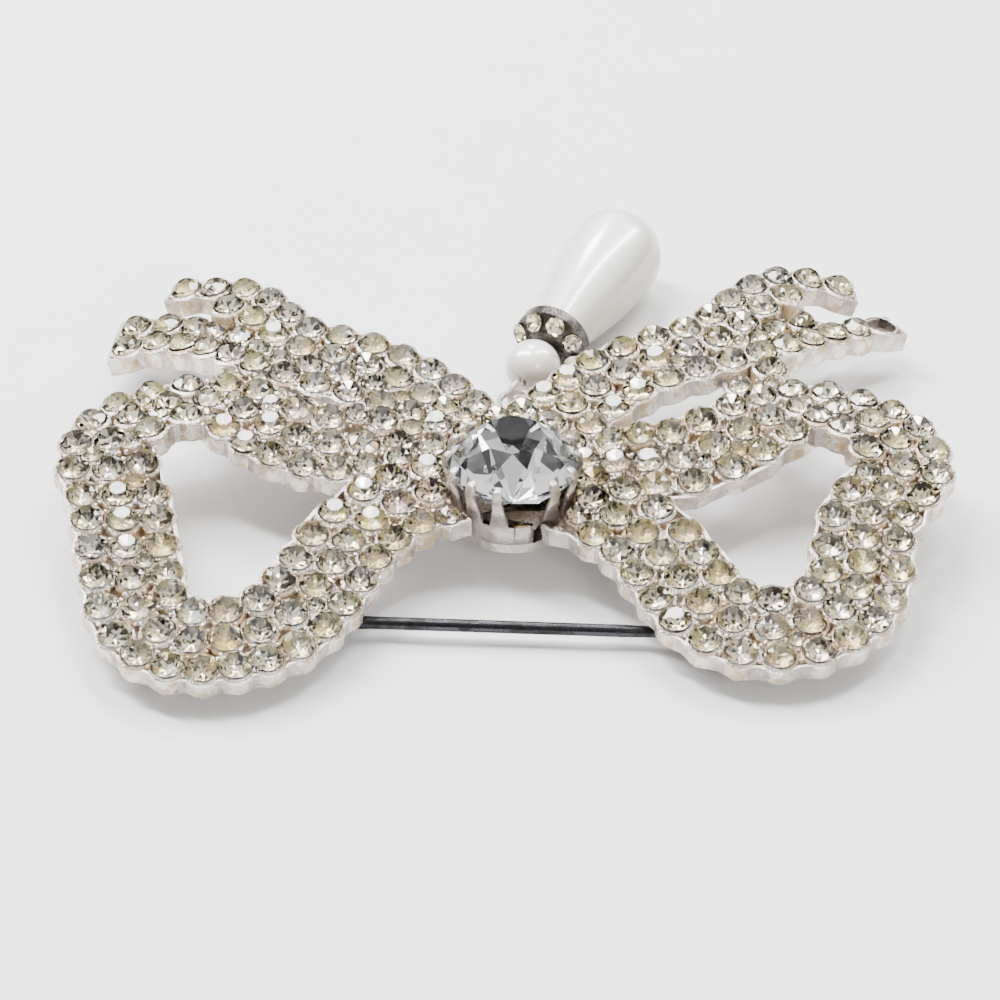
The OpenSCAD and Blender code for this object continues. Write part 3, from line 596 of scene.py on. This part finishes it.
def cup_mesh():
    """A ring spun from its profile, with the stone's girdle at 0."""
    profile = ((CUP_OUT, -CUP_DEEP), (CUP_OUT, -0.42 * MM), (CUP_OUT - 0.07 * MM, -0.22 * MM),
               (CUP_IN + 0.14 * MM, -0.08 * MM), (CUP_IN + 0.05 * MM, 0),
               (CUP_IN, -0.04 * MM), (CUP_IN - 0.04 * MM, -CUP_DEEP))
    bm = bmesh.new()
    line = [bm.verts.new((r, 0, z)) for r, z in profile]
    edges = [bm.edges.new(pair) for pair in zip(line, line[1:] + line[:1])]
    bmesh.ops.spin(bm, geom=line + edges, cent=(0, 0, 0), axis=UP, angle=math.tau, steps=16,
                   use_merge=True)
    bmesh.ops.recalc_face_normals(bm, faces=bm.faces)
    # painted shade: the inner wall of the well below the lip takes the second, near-black metal,
    # so the gap beside each stone reads dark
    for face in bm.faces:
        middle = face.calc_center_median()
        inward = face.normal.dot(Vector((middle.x, middle.y, 0))) < 0
        face.material_index = 1 if inward and middle.z < -0.1 * MM else 0
    mesh = bpy.data.meshes.new("cup")
    bm.to_mesh(mesh)
    bm.free()
    return mesh


def neighbours(places, place, reach):
    """The stones beside one: the direction of each, and how far the plane
    between the two is. A smaller stone gets less of the distance."""
    axis = up_axis(place)
    for other in places:
        gap = other.translation - place.translation
        if 0.1 * MM < gap.length < reach and abs(gap.dot(axis)) < SAME_LEVEL:
            share = size_of(place) / (size_of(place) + size_of(other))
            yield gap.normalized(), gap.length * share


everyone = field["left"] + field["right"]
cup = cup_mesh()
for side, places in field.items():
    bm = bmesh.new()
    for place in places + ([bare] if side == "right" else []):
        fresh = add_copy(bm, cup, place)
        for way, middle in neighbours(everyone, place, WALL_REACH):
            for vert in fresh:
                over = (vert.co - place.translation).dot(way) - middle - SHARED
                if over > 0:
                    vert.co -= way * over
    piece = finished(bm, "cups_" + side, bright, black_and_well_shade)
    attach(piece, "brooch")
    print(piece.name, len(piece.data.polygons), "faces")

# %% [markdown]
# ## Grains
# The setter raised small beads of metal beside the stones to hold them. A
# bead sits on each side of the line between two neighbours. A low icosphere
# is enough for something half a millimetre wide that comes in hundreds.

# %% Raise the grains
BEAD_REACH = 3.9 * MM  # beads lie between stones nearer than this
TO_SIDE = 0.95 * MM  # from the line between two stones to a bead
UNDER = 0.1 * MM  # a bead's middle lies this much under the girdles
FROM_STONE = 1.66 * MM  # from a full stone's middle, so that no bead covers it
APART = 0.45 * MM  # from bead to bead


def grain_mesh():
    """A round bead of radius 1, shaded smooth."""
    bm = bmesh.new()
    bmesh.ops.create_icosphere(bm, subdivisions=1, radius=1)
    for face in bm.faces:
        face.smooth = True
    mesh = bpy.data.meshes.new("grain")
    bm.to_mesh(mesh)
    bm.free()
    return mesh


grain = grain_mesh()
for side, places in field.items():
    bm = bmesh.new()
    spots = []
    for place in places:
        axis = up_axis(place)
        for way, middle in neighbours(everyone, place, BEAD_REACH):
            for sign in (-1, 1):
                spot = (place.translation + way * middle
                        + axis.cross(way) * sign * TO_SIDE - axis * UNDER)
                clear = all((spot - s.translation).length > FROM_STONE * size_of(s)
                            for s in places)
                if clear and all((spot - other).length > APART for other in spots):
                    spots.append(spot)
                    size = chance.uniform(0.2, 0.34) * MM
                    add_copy(bm, grain, Matrix.Translation(spot) @ Matrix.Scale(size, 4))
    piece = finished(bm, "grains_" + side, bright)
    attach(piece, "brooch")
    print(piece.name, len(spots), "grains")

# %% [markdown]
# ## The knot
# The large stone is a fuller cut, with sixteen small facets along the upper
# side of its girdle. It is ground by the same function as the small stones and
# turned so that a corner of its table points to the front.

# %% Cut the knot stone
GEM_CROWN = 3.4 * MM
gem_z = knot_high.z - GEM_CROWN
gem = cut_stone("gem", radius=6.2 * MM, table=3.1 * MM, crown=GEM_CROWN, deep=4.6 * MM,
                girdle=0.25 * MM, fine=True, materials=(knot_glass, knot_foil))
bm = bmesh.new()
add_copy(bm, gem, Matrix.Translation((knot.x, knot.y, gem_z))
         @ Matrix.Rotation(math.radians(-90), 4, "Z"))
piece = finished(bm, "knot_gem", knot_glass, knot_foil)
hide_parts("knot_stone")
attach(piece, "brooch")
print(piece.name, len(piece.data.polygons), "facets, girdle at", round(gem_z / MM, 2))

# %% [markdown]
# ## The clawed cup
# The cup is a plain ring below with fourteen claws above. A claw starts wide,
# narrows as it leans out to the girdle, and its tip folds over the stone. It
# is extruded step by step from a small flat, then bevelled, and the rest are
# turned copies.

# %% Build the clawed cup
CLAWS = 14
CLAW_STEPS = (  # distance from the axis, height, width and thickness in mm, lean in degrees
    (5.56, 6.2, 2.0, 0.6, 0), (5.62, 7.0, 1.8, 0.55, 5), (5.85, 8.0, 1.45, 0.5, 12),
    (6.22, 9.2, 1.1, 0.48, 14), (6.52, 10.1, 0.95, 0.48, 2), (6.46, 10.75, 0.9, 0.45, -36),
    (6.1, 11.15, 0.8, 0.4, -58), (5.72, 11.3, 0.55, 0.26, -72),
)
CUP_PROFILE = (  # distance from the axis and height, in mm
    (0, 4.3), (5.45, 4.3), (5.6, 4.42), (5.75, 5.6), (5.9, 6.55), (5.82, 6.7),
    (5.3, 6.7), (5.1, 6.5), (4.85, 4.9), (0, 4.85),
)


def claw_mesh():
    """One claw, grown step by step along X and rounded."""
    bm = bmesh.new()
    reach, height, wide, thick, lean = CLAW_STEPS[0]
    bmesh.ops.create_grid(bm, x_segments=1, y_segments=1, size=0.5,
                          matrix=Matrix.Translation((reach * MM, 0, height * MM))
                          @ Matrix.Diagonal((thick * MM, wide * MM, 1, 1)))
    top = bm.faces[:]
    for reach, height, wide, thick, lean in CLAW_STEPS[1:]:
        grown = bmesh.ops.extrude_face_region(bm, geom=top)["geom"]
        top = [g for g in grown if isinstance(g, bmesh.types.BMFace)]
        verts = top[0].verts[:]
        flat = Matrix.Diagonal((thick * MM, wide * MM, 1, 1))
        tilt = Matrix.Rotation(math.radians(lean), 4, "Y")
        stand = Matrix.Translation((reach * MM, 0, height * MM)) @ tilt @ flat
        corners = {(sx, sy): stand @ Vector((sx / 2, sy / 2, 0))
                   for sx in (-1, 1) for sy in (-1, 1)}
        middle = top[0].calc_center_median()
        for vert in verts:
            key = (1 if vert.co.x > middle.x else -1, 1 if vert.co.y > middle.y else -1)
            vert.co = corners[key]
    bmesh.ops.recalc_face_normals(bm, faces=bm.faces)
    sharp = [e for e in bm.edges if e.calc_face_angle(0) > math.radians(35)]
    bmesh.ops.bevel(bm, geom=sharp, offset=0.13 * MM, segments=2, profile=0.5, affect="EDGES",
                    material=-1)
    for face in bm.faces:
        face.smooth = True
    mesh = bpy.data.meshes.new("claw")
    bm.to_mesh(mesh)
    bm.free()
    return mesh


def clawed_cup():
    """The ring below, spun from its profile, with the claws standing on it."""
    bm = bmesh.new()
    line = [bm.verts.new((r * MM, 0, z * MM)) for r, z in CUP_PROFILE]
    edges = [bm.edges.new(pair) for pair in zip(line, line[1:])]
    bmesh.ops.spin(bm, geom=line + edges, cent=(0, 0, 0), axis=UP, angle=math.tau, steps=72,
                   use_merge=True)
    bmesh.ops.remove_doubles(bm, verts=bm.verts, dist=1e-7)
    bmesh.ops.recalc_face_normals(bm, faces=bm.faces)
    for face in bm.faces:
        face.smooth = True
    claw = claw_mesh()
    for i in range(CLAWS):
        add_copy(bm, claw, Matrix.Rotation(math.tau * (i + 0.5) / CLAWS - math.pi / 2, 4, "Z"))
    bmesh.ops.translate(bm, verts=bm.verts, vec=(knot.x, knot.y, 0))
    return bm


piece = finished(clawed_cup(), "clawed_cup", silver)
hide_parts("knot_cup")
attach(piece, "brooch")
print(piece.name, len(piece.data.polygons), "faces")

# %% [markdown]
# ## Finishes for the pieces that stay
# The ribbons, the pin, the ring and the drop keep their solid shapes and only
# get their finishes.

# %% Dress the solid pieces
FINISH = {
    "bow_left": silver, "bow_right": silver, "jump_ring": silver, "drop_wire": silver,
    "hinge": steel, "catch": steel, "pin_stem": steel, "washer": black_and_well_shade,
    "round_pearl": pearl, "pear_pearl": pearl,
}
for name, material in FINISH.items():
    nodes[name].data.materials.clear()
    nodes[name].data.materials.append(material)
print("dressed:", len(FINISH), "nodes")

# %% [markdown]
# ## The washer's stones
# The dished washer between the two pearls holds eight stones of 2 mm. They are
# cut and set as the stones of the bow are.

# %% Cut the washer's stones
washer_cut = cut_stone("washer_cut", radius=0.98 * MM, table=0.52 * MM, crown=0.45 * MM,
                       deep=0.6 * MM, girdle=0.08 * MM, fine=False,
                       materials=(field_glass, field_foil))
bm = bmesh.new()
for place in washer_seats:
    add_copy(bm, washer_cut, uneven(place, 0.12 * MM))
piece = finished(bm, "cut_washer_stones", field_glass, field_foil)
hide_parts("washer_stones")
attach(piece, "brooch")
print(piece.name, len(piece.data.polygons), "facets")

# %% [markdown]
# ## Floor
# The brooch was photographed on white paper. One large sheet is enough, with
# no edge of it in view. It glows very faintly, which stands for the light that
# white walls would throw back on it and keeps the shadows soft.

# %% Floor
bm = bmesh.new()
bmesh.ops.create_grid(bm, x_segments=1, y_segments=1, size=1.5)
floor = finished(bm, "floor")
paper, tree, shader, place = new_material("paper")
fibres = group_node(tree, grime, place, Scale=60).outputs["Mask"]
tree.links.new(blend(tree, fibres, (0.80, 0.80, 0.80), (0.79, 0.79, 0.79)),
               shader.inputs["Base Color"])
shader.inputs["Roughness"].default_value = 0.7
shader.inputs["Emission Color"].default_value = (1, 1, 1, 1)
shader.inputs["Emission Strength"].default_value = 0.05
floor.data.materials.append(paper)
print("floor:", paper.name)

# %% [markdown]
# ## Room
# Facets need both bright and dark things to mirror. A lamp for every glint
# would take dozens, so the room itself carries them. It is bright above and
# darker towards the horizon and the front. Dark blots stand for what is about
# in a studio, and a dark disc in front for the photographer. The eye sees
# a plain pale room instead.

# %% Room
world = bpy.data.worlds.new("studio")
scene.world = world
world.use_nodes = True
tree = world.node_tree
sky = tree.nodes["Background"]
sky.inputs["Strength"].default_value = 1.35
place = tree.nodes.new("ShaderNodeTexCoord")
parts = tree.nodes.new("ShaderNodeSeparateXYZ")
tree.links.new(place.outputs["Generated"], parts.inputs["Vector"])
ramp = tree.nodes.new("ShaderNodeValToRGB")
tree.links.new(parts.outputs["Z"], ramp.inputs["Fac"])
TONES = ((0.0, 0.3), (0.3, 0.5), (0.5, 1.2), (0.7, 1.5))  # height, tone
for number, (height, tone) in enumerate(TONES):
    if number > 1:
        ramp.color_ramp.elements.new(height)
    ramp.color_ramp.elements[number].position = height
    ramp.color_ramp.elements[number].color = (tone, tone, tone * 0.99, 1)
print("room tones by height:", TONES)

# %% Dark things in the room
blots = tree.nodes.new("ShaderNodeTexNoise")
blots.inputs["Scale"].default_value = 4.5
blots.inputs["Detail"].default_value = 1
tree.links.new(place.outputs["Generated"], blots.inputs["Vector"])
edge = tree.nodes.new("ShaderNodeMapRange")
edge.inputs["From Min"].default_value = 0.475
edge.inputs["From Max"].default_value = 0.505
edge.inputs["To Min"].default_value = 0.03
tree.links.new(blots.outputs["Fac"], edge.inputs["Value"])
toward = tree.nodes.new("ShaderNodeVectorMath")
toward.operation = "DOT_PRODUCT"
toward.inputs[1].default_value = (0.05, -0.78, 0.62)  # the photographer's direction
tree.links.new(place.outputs["Generated"], toward.inputs[0])
behind = tree.nodes.new("ShaderNodeMapRange")
behind.inputs["From Min"].default_value = 0.965
behind.inputs["From Max"].default_value = 0.975
behind.inputs["To Min"].default_value = 1
behind.inputs["To Max"].default_value = 0.12
tree.links.new(toward.outputs["Value"], behind.inputs["Value"])
toward_back = tree.nodes.new("ShaderNodeMapRange")
toward_back.inputs["From Min"].default_value = -0.7
toward_back.inputs["From Max"].default_value = 0.6
toward_back.inputs["To Min"].default_value = 0.35
tree.links.new(parts.outputs["Y"], toward_back.inputs["Value"])


def product(first, second):
    """Two values of the room multiplied."""
    node = tree.nodes.new("ShaderNodeMath")
    node.operation = "MULTIPLY"
    tree.links.new(first, node.inputs[0])
    tree.links.new(second, node.inputs[1])
    return node.outputs["Value"]


light = product(product(edge.outputs["Result"], behind.outputs["Result"]),
                toward_back.outputs["Result"])
room = blend(tree, light, (0.02, 0.02, 0.022), ramp.outputs["Color"])
ray = tree.nodes.new("ShaderNodeLightPath")
tree.links.new(blend(tree, ray.outputs["Is Camera Ray"], room, (0.76, 0.76, 0.76)),
               sky.inputs["Color"])
print("room:", len(tree.nodes), "nodes")

# %% [markdown]
# ## Soft boxes
# A long soft box stands on each side and a small one behind. They draw the
# long highlights on the pear pearl. The one behind stands higher than the angle
# at which the level tables would mirror it, or every stone would flash white.
# A weak box in front opens the shadows.


# %% Soft boxes
def soft_box(name, place, wide, long, power):
    """A rectangular soft light that faces the brooch. Sizes in metres, power in watts."""
    lamp = bpy.data.lights.new(name, "AREA")
    lamp.shape = "RECTANGLE"
    lamp.size, lamp.size_y = wide, long
    lamp.energy = power
    box = bpy.data.objects.new(name, lamp)
    box.location = place
    box.rotation_euler = (-Vector(place)).to_track_quat("-Z", "Y").to_euler()
    scene.collection.objects.link(box)


soft_box("box_left", (-0.30, 0.16, 0.48), wide=0.08, long=0.6, power=10.0)
soft_box("box_back", (-0.05, 0.34, 0.43), wide=0.12, long=0.1, power=2.0)
soft_box("box_right", (0.28, 0.20, 0.50), wide=0.05, long=0.6, power=5.0)
soft_box("box_front", (0.25, -0.55, 0.40), wide=0.2, long=0.2, power=2.0)
print("lights:", len(bpy.data.lights))
